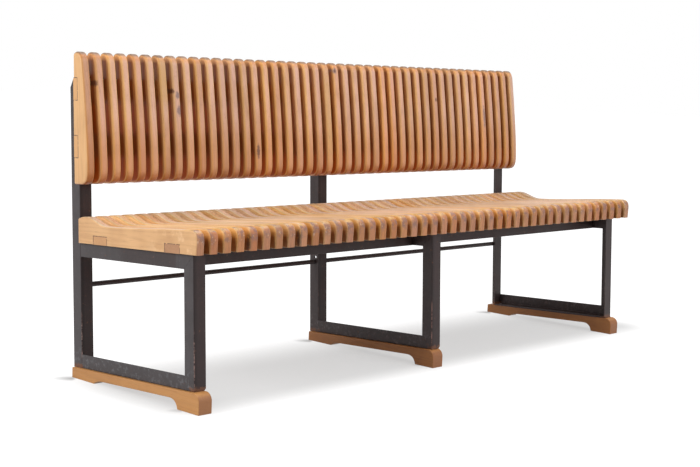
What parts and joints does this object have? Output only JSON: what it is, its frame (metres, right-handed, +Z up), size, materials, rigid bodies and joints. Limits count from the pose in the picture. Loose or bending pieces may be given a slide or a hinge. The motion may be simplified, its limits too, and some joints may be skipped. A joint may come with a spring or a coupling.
{
  "type": "slatted bench",
  "caption": "Long garden bench with profiled wooden slats across seat and back, on welded steel angle frames with wooden sled feet.",
  "frame": {"origin": "centre of the bench's bounding box, on the floor", "axes": "+X along the length, to the sitter's left; +Y from the front to the back; +Z up"},
  "size_m": [1.795, 0.5358, 0.821],
  "materials": {
    "steel": "dark blackened steel, satin, with rusty heels and welds",
    "foot_wood": "oiled wood, satin",
    "rail_wood": "sawn wood, matt",
    "slat_wood": "honey-coloured wood, satin, worn edges",
    "screws": "dark steel, satin"
  },
  "bodies": {
    "root": {"frame_left_leg": "steel", "frame_left_runner": "steel", "frame_left_bearer": "steel", "frame_left_upright": "steel", "frame_middle_leg": "steel", "frame_middle_runner": "steel", "frame_middle_bearer": "steel", "frame_middle_upright": "steel", "frame_right_leg": "steel", "frame_right_runner": "steel", "frame_right_bearer": "steel", "frame_right_upright": "steel", "front_rail_left": "steel", "front_rail_short": "steel", "front_rail_right": "steel", "rear_stretcher_left": "steel", "rear_stretcher_right": "steel", "foot_left": "foot_wood", "foot_middle": "foot_wood", "foot_right": "foot_wood", "seat_rail_front": "rail_wood", "seat_rail_rear": "rail_wood", "back_rail_lower": "rail_wood", "back_rail_upper": "rail_wood", "seat_slats_1": "slat_wood", "seat_slats_2": "slat_wood", "seat_slats_3": "slat_wood", "seat_slats_4": "slat_wood", "seat_slats_5": "slat_wood", "seat_slats_6": "slat_wood", "seat_slats_7": "slat_wood", "seat_slats_8": "slat_wood", "seat_slats_9": "slat_wood", "seat_slats_10": "slat_wood", "seat_slats_11": "slat_wood", "back_slats_1": "slat_wood", "back_slats_2": "slat_wood", "back_slats_3": "slat_wood", "back_slats_4": "slat_wood", "back_slats_5": "slat_wood", "back_slats_6": "slat_wood", "back_slats_7": "slat_wood", "back_slats_8": "slat_wood", "back_slats_9": "slat_wood", "back_slats_10": "slat_wood", "back_slats_11": "slat_wood", "seat_rail_screws": "screws", "front_rail_screws": "screws", "back_rail_screws": "screws", "foot_screws": "screws"}
  },
  "joints": []
}
